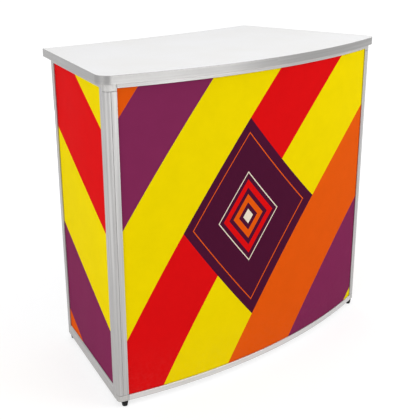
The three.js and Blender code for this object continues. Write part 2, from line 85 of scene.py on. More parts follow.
def softOutline(corners, steps=making["arcSteps"]):
    # Each corner (a, b, radius) becomes an arc: its ends lie radius / tan(half angle) along both edges, and
    # the points between turn evenly about its centre. Columns: a, b, outward normal a and b, and the bend,
    # which is 1 / radius amid the arc (minus in a hollow) and 0 at its ends.
    table = np.array(corners, float)
    beside = np.roll(table, -1, 0)
    if (table[:, 0] * beside[:, 1] - beside[:, 0] * table[:, 1]).sum() < 0:
        table = table[::-1]
    points, radius = table[:, :2], table[:, 2]
    back = unit(np.roll(points, 1, 0) - points)
    ahead = unit(np.roll(points, -1, 0) - points)
    half = np.arccos((back * ahead).sum(1).clip(-1, 1)) / 2
    bulge = np.sign(back[:, 1] * ahead[:, 0] - back[:, 0] * ahead[:, 1])
    centre = points + unit(back + ahead) * (radius / np.sin(half))[:, None]
    reach = (radius / np.tan(half))[:, None]
    first = points + back * reach - centre
    last = points + ahead * reach - centre
    turn = (np.pi - 2 * half)[:, None]
    share = np.linspace(0, 1, steps + 1)
    spokes = np.sin((1 - share) * turn)[..., None] * first[:, None]
    spokes = (spokes + np.sin(share * turn)[..., None] * last[:, None]) / np.sin(turn)[..., None]
    normals = spokes * (bulge / radius)[:, None, None]
    bend = ((bulge / radius)[:, None] * np.sin(np.pi * share))[..., None]
    return np.concatenate([centre[:, None] + spokes, normals, bend], axis=2).reshape(-1, 5)


def softBlock(lowA, lowB, highA, highB, *radii):
    # A rectangle with round corners, from its low corner round; one radius serves all four
    spots = [(lowA, lowB), (highA, lowB), (highA, highB), (lowA, highB)]
    return softOutline([(*spot, radius) for spot, radius in zip(spots, radii * (4 // len(radii)))])


def arc(centre, radius, first, last, steps):
    # Points of an arc and their normals away from its centre
    angle = np.linspace(first, last, steps)
    spoke = np.stack([np.cos(angle), np.sin(angle)], -1)
    return np.concatenate([np.array(centre) + radius * spoke, spoke], axis=1)


def softEnds(low, high, edge, between=()):
    # Stations from low to high, with a quarter round at both ends: drawn in by edge * (1 - cos) at
    # edge * (1 - sin) from the end
    lean = np.linspace(np.pi / 2, 0, making["endSteps"] + 1)
    drop = edge * (1 - np.sin(lean))
    inset = edge * (1 - np.cos(lean))
    flat = np.zeros(len(between))
    stations = np.concatenate([low + drop, between, (high - drop)[::-1]])
    return stations, np.concatenate([inset, flat, inset[::-1]]), np.concatenate([-lean, flat, lean[::-1]])


def lengthAlong(path):
    # Distance round a closed path, at each of its points and back at the first
    return np.append(0, np.cumsum(np.linalg.norm(np.roll(path, -1, 0) - path, axis=1)))


def shell(grid, normals, edge, wrapRows=False, caps=True):
    # Rows and columns of points become quads. Columns close on themselves, rows only if wrapRows is set.
    rows, columns = grid.shape[:2]
    r = np.arange(rows if wrapRows else rows - 1)[:, None]
    c = np.arange(columns)
    r2 = (r + 1) % rows
    c2 = (c + 1) % columns
    ring = np.broadcast_arrays(r * columns + c, r * columns + c2, r2 * columns + c2, r2 * columns + c)
    quads = np.stack(ring, -1).reshape(-1, 4)
    across = lengthAlong(grid[rows // 2])
    along = lengthAlong(grid[:, 0])
    u = np.stack([across[c], across[c + 1], across[c + 1], across[c]], -1)
    v = np.stack([along[r], along[r], along[r + 1], along[r + 1]], -1)
    uv = np.stack(np.broadcast_arrays(u, v), -1).reshape(-1, 4, 2)
    points = grid.reshape(-1, 3)
    normals = normals.reshape(-1, 3)
    spots = points[quads]
    facing = np.cross(spots[:, 2] - spots[:, 0], spots[:, 3] - spots[:, 1])
    ends = [c[::-1], c + (rows - 1) * columns] if caps else []
    if (facing * normals[quads[:, 0]]).sum() < 0:
        quads = quads[:, ::-1]
        uv = uv[:, ::-1]
        ends = [end[::-1] for end in ends]
    return {"points": points, "normals": normals, "edge": edge.reshape(-1), "quads": quads, "uv": uv,
            "caps": [end.tolist() for end in ends]}


def merged(shapes):
    # Several shapes as one: their arrays in a row, with the faces counted on from the points before
    starts = np.cumsum([0] + [len(shape["points"]) for shape in shapes])
    pairs = list(zip(shapes, starts))
    keys = ("points", "normals", "edge", "uv")
    whole = {key: np.concatenate([shape[key] for shape in shapes]) for key in keys}
    whole["quads"] = np.concatenate([shape["quads"] + start for shape, start in pairs])
    whole["caps"] = [np.add(cap, start).tolist() for shape, start in pairs for cap in shape["caps"]]
    return whole


def filled(points, loops, way):
    # Triangles that fill the first loop and leave the others open, turned to look the given way
    outlines = [points[loop].tolist() for loop in loops]
    triangles = np.concatenate(loops)[np.array(tessellate_polygon(outlines))]
    spots = points[triangles]
    facing = np.cross(spots[:, 1] - spots[:, 0], spots[:, 2] - spots[:, 0])
    wrong = facing @ way < 0
    triangles[wrong] = triangles[wrong][:, ::-1]
    return triangles.tolist()


def carry(outline, ends, place, caps=True, rimWearAndShade=1.0):
    # The outline is carried to every station, each point drawn in along its own normal. place turns
    # (a, b, station) into the frame, and a normal is the way that place moves a point pushed outwards.
    # The rims at both ends are rubbed bare where the last argument is above 0, and darkened with dirt and
    # painted shade where it is below 0.
    stations, inset, lean = (column[:, None] for column in ends)
    a, b, outA, outB, bend = outline.T
    a = a - inset * outA
    b = b - inset * outB
    stations = np.broadcast_to(stations, a.shape)
    push = making["push"]
    side = push * np.cos(lean)
    grid = place(a, b, stations)
    pushed = place(a + side * outA, b + side * outB, stations + push * np.sin(lean))
    bend = np.clip(bend * making["wear"], -1, 1) * np.ones(a.shape)
    rim = rimWearAndShade * np.abs(np.sin(2 * lean)) * np.ones(a.shape)
    edge = np.where(np.abs(rim) > np.abs(bend), rim, bend)
    return shell(grid, unit(pushed - grid), edge, caps=caps)


def hollow(outline, core, ends, place):
    # A tube: the outline outside, the core inside, and both ends filled between the two
    flat = np.zeros(2)
    outer = carry(outline, ends, place, caps=False)
    inner = carry(core * [1, 1, -1, -1, 1], (ends[0][[0, -1]], flat, flat), place, caps=False)
    whole = merged([outer, inner])
    points = whole["points"]
    innerStart = len(outer["points"])
    rim, bore = np.arange(len(outline)), innerStart + np.arange(len(core))
    start = [rim, bore]
    finish = [rim + innerStart - len(outline), bore + len(core)]
    along = points[np.concatenate(finish)].mean(0) - points[np.concatenate(start)].mean(0)
    whole["caps"] = filled(points, start, -along) + filled(points, finish, along)
    return whole


def spokesRound(axis, start, steps, shift=0.0):
    # Even steps round an axis: the angles, the unit axis, and cos * start + sin * (axis x start)
    up = unit(np.array(axis, float))
    right = unit(np.array(start, float))
    angle = np.arange(steps) * 2 * np.pi / steps + shift
    return angle, up, np.cos(angle)[:, None] * right + np.sin(angle)[:, None] * np.cross(up, right)


def pocketed(shape, face, pockets):
    # Opens round pockets (centre, radius, depth) in a flat face: a chamfered mouth, a wall and a floor
    # each. The rest of the face is filled with triangles.
    points = shape["points"]
    steps, chamfer = making["roundSteps"], making["chamfer"]
    _, up, spoke = spokesRound(shape["normals"][face[0]], points[face[1]] - points[face[0]], steps)
    keep = (np.sort(shape["quads"], axis=1) != np.sort(face)[:4]).any(1)
    rest = dict(shape, quads=shape["quads"][keep], uv=shape["uv"][keep])
    rest["caps"] = [cap for cap in shape["caps"] if cap != face]
    shapes, loops = [rest], [np.array(face)]
    for centre, radius, depth in pockets:
        reach = np.array([radius + chamfer, radius, radius, radius - chamfer])[:, None, None]
        drop = np.array([0.0, chamfer, depth - chamfer, depth])[:, None, None]
        grid = np.array(centre) + reach * spoke - drop * up
        level = np.broadcast_to(up, spoke.shape)
        wall = shell(grid, np.stack([level, -spoke, -spoke, level]), np.zeros(grid.shape[:2]), caps=False)
        wall["caps"] = [np.arange(3 * steps, 4 * steps).tolist()]
        loops.append(sum(len(part["points"]) for part in shapes) + np.arange(steps))
        shapes.append(wall)
    whole = merged(shapes)
    whole["caps"] += filled(whole["points"], loops, up)
    return whole


def swept(section, base, way, wear, **options):
    # A section (distance, height) set out along level ways from base points
    up = np.array([0.0, 0.0, 1.0])
    grid = base + section[..., :1] * way + section[..., 1:2] * up
    normals = section[..., 2:3] * way + section[..., 3:4] * up
    edge = np.broadcast_to(np.clip(section[..., 4] * wear, -1, 1), grid.shape[:2])
    return shell(grid, normals, edge, **options)


def turned(corners, x, y, steps=making["roundSteps"], arcSteps=making["arcSteps"], axis=making["axis"]):
    # A half section (radius, height), listed from its lower end to its upper one, turned about an upright
    # axis. Both ends run in to a tiny flat disc at the axis.
    first, last = ((axis, corners[at][1], making["axisRound"]) for at in (0, -1))
    profile = softOutline([first, *corners, last], arcSteps)[arcSteps:-arcSteps, None]
    _, _, spoke = spokesRound((0, 0, 1), (1, 0, 0), steps)
    return swept(profile, np.array([x, y, 0]), spoke, making["roundWear"])


def closedRing(path, section, wear):
    # A section (distance from the path, height) carried once round a level path (x, y, normal x, normal y)
    base, way = (np.pad(part, ((0, 0), (0, 1)))[:, None] for part in (path[:, :2], path[:, 2:]))
    return swept(section, base, way, wear, wrapRows=True, caps=False)


screwDome = dict(lean=1.1, rim=0.25, steps=5, taper=0.7)


def crossScrew(centre, axis, start, size):
    # Head of a cross-recess screw: a domed disc, then the rim of a plus-shaped recess and its tapering
    # wall. The plus has the polar radius min(arm / cos, half width / sin) about its nearest arm.
    steps, rim = making["roundSteps"], screwDome["rim"]
    angle, up, spoke = spokesRound(axis, start, steps, np.pi / steps)
    nearest = (angle + np.pi / 4) % (np.pi / 2) - np.pi / 4
    plus = np.minimum(size["arm"] / np.cos(nearest), size["slot"] / np.abs(np.sin(nearest)))
    lean = np.linspace(0, 1, screwDome["steps"]) * screwDome["lean"]
    rise = rim + (1 - rim) * np.sin(lean) / math.sin(screwDome["lean"])
    outer = size["radius"] * np.append(1, np.cos(lean))[:, None] * np.ones(steps)
    radius = np.concatenate([outer, [plus, screwDome["taper"] * plus]])
    top = size["height"]
    height = np.concatenate([[0], top * rise, [top, top - size["recess"]]])[:, None, None]
    grid = np.array(centre) + radius[..., None] * spoke + height * up
    return shell(grid, np.broadcast_to(spoke, grid.shape), np.zeros(grid.shape[:2]))


def linked(name, data):
    item = bpy.data.objects.new(name, data)
    scene.collection.objects.link(item)
    return item


def makePiece(name, shapes, body, finish, node=None):
    # The shapes become one mesh at the origin, with its streak map, its edge values and exact normals
    whole = merged(shapes)
    points = whole["points"]
    maps = [whole["uv"].reshape(-1, 2)]
    for cap in whole["caps"]:
        flat = points[cap] - points[cap[0]]
        first = unit(flat[1] + making["tiny"])
        spread = flat - (flat @ first)[:, None] * first
        second = unit(spread[np.argmax(np.linalg.norm(spread, axis=1))] + making["tiny"])
        maps.append(np.stack([flat @ first, flat @ second], -1))
    mesh = bpy.data.meshes.new(name)
    mesh.from_pydata(points.tolist(), [], whole["quads"].tolist() + whole["caps"])
    along = mesh.uv_layers.new(name="along").data
    along.foreach_set("uv", np.concatenate(maps).astype(np.float32).ravel())
    edge = mesh.attributes.new("edge", "FLOAT", "POINT").data
    edge.foreach_set("value", whole["edge"].astype(np.float32))
    mesh.polygons.foreach_set("use_smooth", np.ones(len(mesh.polygons), bool))
    if finish == "screw":
        mesh.set_sharp_from_angle(angle=making["sharpAngle"])
    else:
        mesh.normals_split_custom_set_from_vertices(whole["normals"].tolist())
    slot, *materials = finishes[finish]
    for material in materials:
        mesh.materials.append(material)
    piece = linked(name, mesh)
    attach(piece, body)
    if node:
        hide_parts(node)
    return piece


def dress(node, body, finish, *shapes):
    # A piece in place of a node and named after it: left_top_rail becomes leftTopRail
    first, *rest = node.split("_")
    makePiece(first + "".join(word.title() for word in rest), shapes, body, finish, node)


# Places in the frame

def bowPlace(radius, height, along):
    # Along runs round the bow from the middle of the front, measured at the outer face
    angle = along / bowRadius
    across, back = radius * np.sin(angle), bowCentreY - radius * np.cos(angle)
    return np.stack(np.broadcast_arrays(across, back, height), -1)


def corner(hand, inward, rearward, height):
    # Inward runs from the outer face of a side, rearward runs back along it from the front corner
    across = bar["chord"] / 2 - inward * cosSplay - rearward * sinSplay
    back = cornerY + rearward * cosSplay - inward * sinSplay
    return np.stack(np.broadcast_arrays(hand * across, back, height), -1)


def uprightPlace(hand):
    # A plan section carried up a side; railPlace carries a cross section rearward, platePlace a face inward
    return lambda inward, rearward, height: corner(hand, inward, rearward, height)


def railPlace(hand):
    return lambda inward, height, rearward: corner(hand, inward, rearward, height)


def platePlace(hand):
    return lambda rearward, height, inward: corner(hand, inward, rearward, height)


def sideWays(hand):
    # A side's front corner on the floor, and the unit ways inward and rearward from it
    origin = corner(hand, 0.0, 0.0, 0.0)
    return origin, corner(hand, 1.0, 0.0, 0.0) - origin, corner(hand, 0.0, 1.0, 0.0) - origin


def angleAtInward(radius, inward):
    # Angle at which an arc of this radius is a given distance inward from the outer face of a side
    offset = bar["chord"] / 2 * cosSplay - (bowRadius - bar["bow"]) * sinSplay
    return bar["splay"] - np.arcsin((inward - offset) / radius)


def rearwardAt(radius, inward):
    # Distance of that point behind the front corner, measured along the side
    angle = angleAtInward(radius, inward)
    across = bar["chord"] / 2 - radius * np.sin(angle)
    back = bowRadius - bar["bow"] - radius * np.cos(angle)
    return across * sinSplay + back * cosSplay


def roundBow(section, inward, radii, soft, stations):
    # A section (radius, height) carried round the bow until one of its radii is this far inward of the sides
    half = min(angleAtInward(radius, inward) for radius in radii) * bowRadius
    inner = np.linspace(-half, half, stations)[1:-1]
    return carry(section, softEnds(-half, half, soft, inner), bowPlace)


# Shader helpers: a socket knows its tree, so a node goes into the tree of the sockets that feed it

def newNode(tree, kind, **properties):
    node = tree.nodes.new("ShaderNode" + kind)
    for key, value in properties.items():
        setattr(node, key, value)
    return node


def feed(socket, value):
    # Another socket comes in as a link, a number or a colour as the socket's own value
    if isinstance(value, bpy.types.NodeSocket):
        socket.id_data.links.new(value, socket)
    else:
        socket.default_value = value


def put(kind, inputs, **properties):
    # The outputs of a new node with its inputs fed, at least one of them by a socket
    tree = next(value.id_data for value in inputs.values() if isinstance(value, bpy.types.NodeSocket))
    node = newNode(tree, kind, **properties)
    for key, value in inputs.items():
        feed(node.inputs[key], value)
    return node.outputs


def sums(operation, first, second=0.0, third=0.0, clamp=False):
    return put("Math", {0: first, 1: second, 2: third}, operation=operation, use_clamp=clamp)[0]


def times(first, second, clamp=False):
    return sums("MULTIPLY", first, second, clamp=clamp)


def added(value, *terms, clamp=False):
    # The value plus the product of each pair
    for first, second in terms:
        value = sums("MULTIPLY_ADD", first, second, value, clamp)
    return value


def mixed(share, first, second, blend="MIX"):
    return put("Mix", {0: share, 6: first, 7: second}, data_type="RGBA", blend_type=blend)[2]


def remap(value, fromLow, fromHigh, toLow=0.0, toHigh=1.0):
    return put("MapRange", {0: value, 1: fromLow, 2: fromHigh, 3: toLow, 4: toHigh}, clamp=True)[0]


def noise(vector, scale, detail, rough):
    return put("TexNoise", {"Vector": vector, "Scale": scale, "Detail": detail, "Roughness": rough})[0]


def parted(vector):
    return put("SeparateXYZ", {0: vector})


def joined(x, y, z):
    return put("CombineXYZ", {0: x, 1: y, 2: z})[0]


def shade(red, green, blue):
    # Display values from 0 to 255 as a linear colour
    value = np.array([red, green, blue]) / 255
    linear = np.where(value <= 0.04045, value / 12.92, ((value + 0.055) / 1.055) ** 2.4)
    return (*linear.tolist(), 1.0)


def grey(level, warmth=1):
    # A grey whose green and blue fall by the warmth and twice the warmth
    return shade(level, level - warmth, level - 2 * warmth)


# Effects that several materials share, each as a node group. A noise has its scale, detail and roughness,
# or only the last two where the material sets the scale.
tuning = dict(
    streakRun=2.5, bandShift=7.0, streakNoise=(1.0, 4.0, 0.7), bandNoise=(1.0, 2.0, 0.5),
    wearNoise=(5.0, 0.65), wornSpan=(0.38, 0.66, 0.15, 1.0), shadedCreaseSpan=(0.3, 0.6, 1.0, 0.4),
    wipeStretch=(1.0, 1.0, 0.35), wipeTurn=(0.3, 0.5, 0.2), wipeFiner=4.0, wipeNoise=(3.0, 0.5),
    wipeShare=0.35, cloudNoise=(4.0, 0.6), cloudShare=0.65, markSpan=(0.36, 0.64),
    lyingDust=0.35, dustNoise=(90.0, 6.0, 0.7), dustSpan=(0.42, 0.7), grainNoise=(2.0, 0.5),
    grainShare=0.6, cellShare=0.4, lineNoise=(1.0, 3.0, 0.6),
)


def streaks(chart, fine, broad):
    # Fine lines and broader bands drawn out along the second coordinate of the streak map
    across, along, _ = parted(chart)
    slow = times(along, tuning["streakRun"])
    thin = joined(times(across, fine), slow, 0.0)
    wide = joined(times(across, broad), slow, tuning["bandShift"])
    return {"Streak": noise(thin, *tuning["streakNoise"]), "Band": noise(wide, *tuning["bandNoise"])}


def wear(vector, breakup):
    # Rubbed convex edges, and hollows darkened with dirt and painted shade, from the edge values that each
    # mesh carries, broken up by noise
    edge = newNode(vector.id_data, "Attribute", attribute_name="edge").outputs["Fac"]
    patches = noise(vector, breakup, *tuning["wearNoise"])
    hollows = times(edge, -1.0, clamp=True)
    return {"Worn": times(edge, remap(patches, *tuning["wornSpan"]), clamp=True),
            "Crease": times(hollows, remap(patches, *tuning["shadedCreaseSpan"]))}


def smudges(vector, scale):
    # Hand marks and wipe traces: soft clouds crossed by a stretched noise
    inputs = {"Vector": vector, "Scale": tuning["wipeStretch"], "Rotation": tuning["wipeTurn"]}
    wipe = noise(put("Mapping", inputs)[0], times(scale, tuning["wipeFiner"]), *tuning["wipeNoise"])
    clouds = times(noise(vector, scale, *tuning["cloudNoise"]), tuning["cloudShare"])
    return {"Mark": remap(added(clouds, (wipe, tuning["wipeShare"])), *tuning["markSpan"])}


def dust(vector, reach):
    # Dust gathers low down and on faces that look up
    low = sums("SUBTRACT", 1.0, sums("DIVIDE", parted(vector)[2], reach), clamp=True)
    facing = newNode(vector.id_data, "NewGeometry").outputs["Normal"]
    lying = times(parted(facing)[2], tuning["lyingDust"], clamp=True)
    grains = remap(noise(vector, *tuning["dustNoise"]), *tuning["dustSpan"])
    return {"Dust": times(sums("MAXIMUM", low, lying), grains, clamp=True)}


def grain(vector, scale):
    # Fine even grain of a moulded, coated or blasted face, as a height from 0 to 1
    cells = put("TexVoronoi", {"Vector": vector, "Scale": scale})["Distance"]
    pebbles = times(noise(vector, scale, *tuning["grainNoise"]), tuning["grainShare"])
    return {"Height": added(pebbles, (cells, tuning["cellShare"]))}


def hairlines(vector, turn, along, across, low, high):
    # Thin scratches: noise drawn out along one direction, of which only the highest crests are left
    inputs = {"Vector": vector, "Rotation": joined(0.0, 0.0, turn), "Scale": joined(along, across, 1.0)}
    return {"Line": remap(noise(put("Mapping", inputs)[0], *tuning["lineNoise"]), low, high)}


def stripes(chart, slope, bow, fan, lift):
    # Level of a slanting stripe: height less slope * along, bow * along squared, fan * along * height and
    # lift * height squared
    along, height, _ = parted(chart)
    perAlong = added(slope, (bow, along), (fan, height))
    perHeight = sums("SUBTRACT", 1.0, times(lift, height))
    return {"Level": sums("SUBTRACT", times(height, perHeight), times(along, perAlong))}


def makeGroup(name, inputs, build):
    # build turns the group's inputs into its outputs by name
    group = bpy.data.node_groups.new(name, "ShaderNodeTree")
    for label in inputs:
        kind = "NodeSocketVector" if label in ("Vector", "Map") else "NodeSocketFloat"
        group.interface.new_socket(label, in_out="INPUT", socket_type=kind)
    found = build(*group.nodes.new("NodeGroupInput").outputs[:len(inputs)])
    for label in found:
        group.interface.new_socket(label, in_out="OUTPUT", socket_type="NodeSocketFloat")
    wanted = group.nodes.new("NodeGroupOutput").inputs
    for label, socket in found.items():
        feed(wanted[label], socket)
    return group


groups = {name: makeGroup(name, inputs.split(), build) for name, inputs, build in (
    ("drawnStreaks", "Map Fine Broad", streaks),
    ("edgeWear", "Vector Breakup", wear),
    ("wipeMarks", "Vector Scale", smudges),
    ("floorDust", "Vector Reach", dust),
    ("fineGrain", "Vector Scale", grain),
    ("hairlines", "Vector Turn Along Across Low High", hairlines),
    ("stripeLevel", "Map Slope Bow Fan Lift", stripes))}


def effects(vector, wanted):
    # The outputs of all wanted groups in one dictionary; each takes the vector and its own amounts
    found = {}
    for name, amounts in wanted.items():
        found.update(put("Group", {0: vector, **amounts}, node_tree=groups[name]).items())
    return found


def surface(name, look, paint=None):
    # Every material of the part: effects give masks, by which colours are laid over the first one and the
    # roughness, the bump and the metal change. paint gives the first colour where it isn't plain.
    material = bpy.data.materials.new(name)
    material.use_nodes = True
    tree = material.node_tree
    here = chart = newNode(tree, "TexCoord").outputs["Object"]
    seen = effects(here, look["effects"])
    if look["map"]:
        chart = newNode(tree, "UVMap", uv_map=look["map"]).outputs[0]
        seen.update(effects(chart, look["mapEffects"]))
    seen.update({label: noise(chart, *amounts) for label, amounts in look["noises"].items()})
    tone = paint(chart) if paint else look["base"]
    for mask, colour, share, *span in look["layers"]:
        tone = mixed(remap(seen[mask], *(span or (0.0, 1.0)), 0.0, share), tone, look[colour])

    def changed(value, amounts, clamp=True):
        return added(value, *((seen[mask], amount) for mask, amount in amounts.items()), clamp=clamp)

    relief = changed(0.0, look["reliefBy"], clamp=False)
    bump = put("Bump", {"Height": relief, "Strength": look["relief"], "Distance": look["reliefDepth"]})
    sockets = {
        "Base Color": tone, "Roughness": changed(look["rough"], look["roughBy"]), "Normal": bump[0],
        "Metallic": changed(look["metallic"], look["metallicBy"]), "Specular IOR Level": look["gloss"],
    }
    for label, value in sockets.items():
        feed(tree.nodes["Principled BSDF"].inputs[label], value)
    return material


# What the looks share. A layer is a mask, a colour of the look, its share, and the mask's span if not 0 to 1
plainLook = dict(gloss=0.5, metallic=0.0, metallicBy={}, map=None, noises={}, reliefBy={"Height": 1.0},
                 reliefDepth=0.0002)

# Metals: streaks along the piece, rubbed edges, hollows darkened with dirt and painted shade, hand marks and
# dust
profileLook = dict(
    plainLook, base=grey(158), light=grey(190), bare=shade(212, 211, 210), dirt=grey(66),
    dust=shade(176, 170, 160), metallic=0.9, metallicBy={"Dust": -0.25}, rough=0.38,
    roughBy={"Streak": 0.16, "Mark": 0.04, "Dust": 0.12, "Worn": -0.1}, map="along",
    mapEffects={"drawnStreaks": {"Fine": 2600.0, "Broad": 130.0}},
    effects={"edgeWear": {"Breakup": 45.0}, "wipeMarks": {"Scale": 6.0}, "floorDust": {"Reach": 0.09},
             "fineGrain": {"Scale": 2600.0}},
    # The crease layer lays the dark colour into hollows, grooves and joints: dirt and painted shade together
    layers=[("Band", "light", 1.0, 0.3, 0.7), ("Streak", "light", 0.35, 0.3, 0.75),
            ("Worn", "bare", 0.4), ("Crease", "dirt", 0.9), ("Dust", "dust", 0.2)],
    reliefBy={"Streak": 1.0, "Height": 0.25}, relief=0.35)
blockLook = dict(profileLook, rough=0.42, relief=0.45, reliefBy={"Streak": 1.0, "Height": 1.0},
                 base=shade(172, 171, 169), light=shade(191, 190, 188))
bandLook = dict(profileLook, rough=0.22, base=grey(142), light=grey(157),
                mapEffects={"drawnStreaks": {"Fine": 3800.0, "Broad": 130.0}})
# The profile's aluminium painted lighter for the front bottom rail: painted light, for the brighter light it
# catches
paintedLightRailLook = dict(profileLook, base=grey(196), light=grey(210), bare=shade(220, 220, 219))
# Steel's dark hollow colour is dirt and painted shade as well
steelLook = dict(profileLook, metallic=1.0, rough=0.22, base=shade(150, 152, 155), light=shade(182, 184, 186),
                 bare=grey(212, -1), dirt=shade(78, 74, 70),
                 mapEffects={"drawnStreaks": {"Fine": 1900.0, "Broad": 240.0}})
screwLook = dict(steelLook, rough=0.18, base=shade(126, 127, 130), light=shade(166, 167, 170))
nickelLook = dict(steelLook, rough=0.08, base=shade(186, 184, 180), light=shade(206, 204, 199), relief=0.12)

# White laminate: pebbled gloss, faint cloudiness, hairline scuffs that show mostly in the gloss
laminateLook = dict(
    plainLook, base=shade(242, 242, 243), warm=shade(238, 237, 235), scuff=grey(220), gloss=0.09, rough=0.42,
    roughBy={"Mark": 0.12, "Line": 0.15}, noises={"Cloud": (5.0, 5.0, 0.55)},
    effects={"edgeWear": {"Breakup": 30.0}, "wipeMarks": {"Scale": 3.0}, "fineGrain": {"Scale": 700.0},
             "hairlines": {"Turn": 0.6, "Along": 4.0, "Across": 420.0, "Low": 0.66, "High": 0.72}},
    layers=[("Cloud", "warm", 0.7, 0.35, 0.7), ("Line", "scuff", 0.12), ("Worn", "warm", 0.25)],
    reliefBy={"Height": 1.0, "Line": -0.25}, relief=0.18)

# Printed plastic sheet under a satin film: film grain, fine scratches, a slight wave, dust near the floor
sheetLook = dict(
    plainLook, dust=shade(190, 184, 174), gloss=0.003, rough=0.42,
    roughBy={"Mark": 0.10, "Dust": 0.2, "Line": 0.12}, map="print", noises={"Wave": (2.2, 1.0, 0.4)},
    mapEffects={"fineGrain": {"Scale": 1500.0},
                "hairlines": {"Turn": 1.1, "Along": 3.0, "Across": 340.0, "Low": 0.68, "High": 0.73}},
    effects={"wipeMarks": {"Scale": 3.5}, "floorDust": {"Reach": 0.22}},
    layers=[("Dust", "dust", 0.03)],
    reliefBy={"Height": 1.0, "Line": -0.4, "Wave": 6.0}, relief=0.14)

# Unprinted back of the sheets: matt white plastic with a leathery grain
backLook = dict(
    plainLook, base=shade(226, 227, 226), mark=shade(214, 214, 211), dust=shade(184, 178, 168), rough=0.5,
    roughBy={"Mark": 0.12}, relief=0.3, reliefDepth=0.0003,
    effects={"fineGrain": {"Scale": 900.0}, "wipeMarks": {"Scale": 4.0}, "floorDust": {"Reach": 0.25}},
    layers=[("Mark", "mark", 0.35), ("Dust", "dust", 0.3)])

# Moulded rubber and plastic: pebbled skin, paler rubbed edges, dust
rubberLook = dict(
    plainLook, base=shade(16, 16, 17), light=shade(30, 30, 31), rubbed=grey(66), dust=shade(150, 145, 136),
    gloss=0.18, rough=0.62, roughBy={"Height": 0.2}, relief=0.4, noises={"Cloud": (60.0, 4.0, 0.55)},
    effects={"edgeWear": {"Breakup": 120.0}, "floorDust": {"Reach": 0.012}, "fineGrain": {"Scale": 2200.0}},
    layers=[("Cloud", "light", 1.0, 0.3, 0.7), ("Worn", "rubbed", 0.4), ("Dust", "dust", 0.08)])
bushLook = dict(rubberLook, base=shade(34, 34, 36), light=shade(48, 48, 50), rough=0.45, gloss=0.5,
                effects=dict(rubberLook["effects"], fineGrain={"Scale": 3000.0}))

# Inks, and how unevenly they lie
inks = dict(
    red=shade(222, 17, 20), yellow=shade(242, 217, 2), purple=shade(128, 42, 85),
    orange=shade(230, 90, 15), plum=shade(76, 22, 50), cream=shade(238, 226, 205),
)
density = dict(tone=shade(30, 14, 16), share=0.055, noise=(14.0, 6.0, 0.65), span=(0.3, 0.75))
# Stripes of the front: levels at which one ink gives way to the next, from the lower right to the upper left
frontPrint = dict(
    stripe={"Slope": 1.511, "Bow": -0.965, "Fan": 0.566, "Lift": -0.472},
    inks=["yellow", "purple", "orange", "yellow", "red", "yellow", "purple", "orange"],
    levels=[-0.482, -0.122, 0.335, 0.860, 1.424, 2.036, 2.717],
)
# The plum diamond lies between two stripe levels and two levels of a slant that falls to the right. Its own
# levels run from its middle, 0, to its edge, 1.
diamondPrint = dict(
    stripe={"Slope": -1.095, "Bow": 0.465, "Fan": 0.0, "Lift": 0.0},
    between=(0.113, 0.768), betweenStripes=(0.335, 1.424),
    inks=["cream", "plum", "orange", "plum", "red", "plum", "cream", "plum", "orange", "plum"],
    levels=[0.075, 0.14, 0.225, 0.29, 0.375, 0.44, 0.456, 0.84, 0.856],
)
sidePrint = dict(
    stripe={"Slope": 0.474, "Bow": 0.0, "Fan": 0.072, "Lift": 0.0},
    inks=["orange", "purple", "yellow", "red", "yellow"], levels=[-0.113, 0.213, 0.536, 0.854],
)


def levelOf(chart, design):
    return effects(chart, {"stripeLevel": design["stripe"]})["Level"]


def banded(value, design):
    # The first ink, then each further one from its own level upwards
    ink = inks[design["inks"][0]]
    for start, name in zip(design["levels"], design["inks"][1:]):
        ink = mixed(sums("GREATER_THAN", value, start), ink, inks[name])
    return ink


def offMiddle(value, low, high):
    # 0 midway between two levels and 1 at both
    return sums("DIVIDE", sums("ABSOLUTE", sums("SUBTRACT", value, (low + high) / 2)), (high - low) / 2)


def printedSheet(name, design, diamond=None):
    def paint(chart):
        level = levelOf(chart, design)
        ink = banded(level, design)
        if diamond:
            slanting = offMiddle(levelOf(chart, diamond), *diamond["between"])
            reach = sums("MAXIMUM", offMiddle(level, *diamond["betweenStripes"]), slanting)
            ink = mixed(sums("LESS_THAN", reach, 1.0), ink, banded(reach, diamond))
        uneven = remap(noise(chart, *density["noise"]), *density["span"], 0.0, density["share"])
        return mixed(uneven, ink, density["tone"], "MULTIPLY")

    return surface(name, sheetLook, paint)


# Each finish: the record's slot and its materials
sheetBack = surface("sheetBack", backLook)
finishes = {
    "profile": ("aluminium_profile", surface("satinProfile", profileLook)),
    # the lighter rail is the profile's aluminium with painted light
    "rail": ("aluminium_profile", surface("satinRailPaintedLight", paintedLightRailLook)),
    "block": ("corner_block", surface("blastedBlock", blockLook)),
    "band": ("edge_band", surface("edgeStrip", bandLook)),
    "steel": ("hinge_steel", surface("platedSteel", steelLook)),
    "screw": ("hinge_steel", surface("screwSteel", screwLook)),
    "magnet": ("magnet", surface("nickelFace", nickelLook)),
    "laminate": ("white_laminate", surface("whiteLaminate", laminateLook)),
    "frontPrint": ("printed_panel", printedSheet("frontPrint", frontPrint, diamondPrint), sheetBack),
    "sidePrint": ("printed_panel", printedSheet("sidePrint", sidePrint), sheetBack),
    "rubber": ("rubber", surface("footRubber", rubberLook)),
    "bush": ("bush_plastic", surface("bushPlastic", bushLook)),
}
print("materials made:", len(bpy.data.materials))


# Printed panels

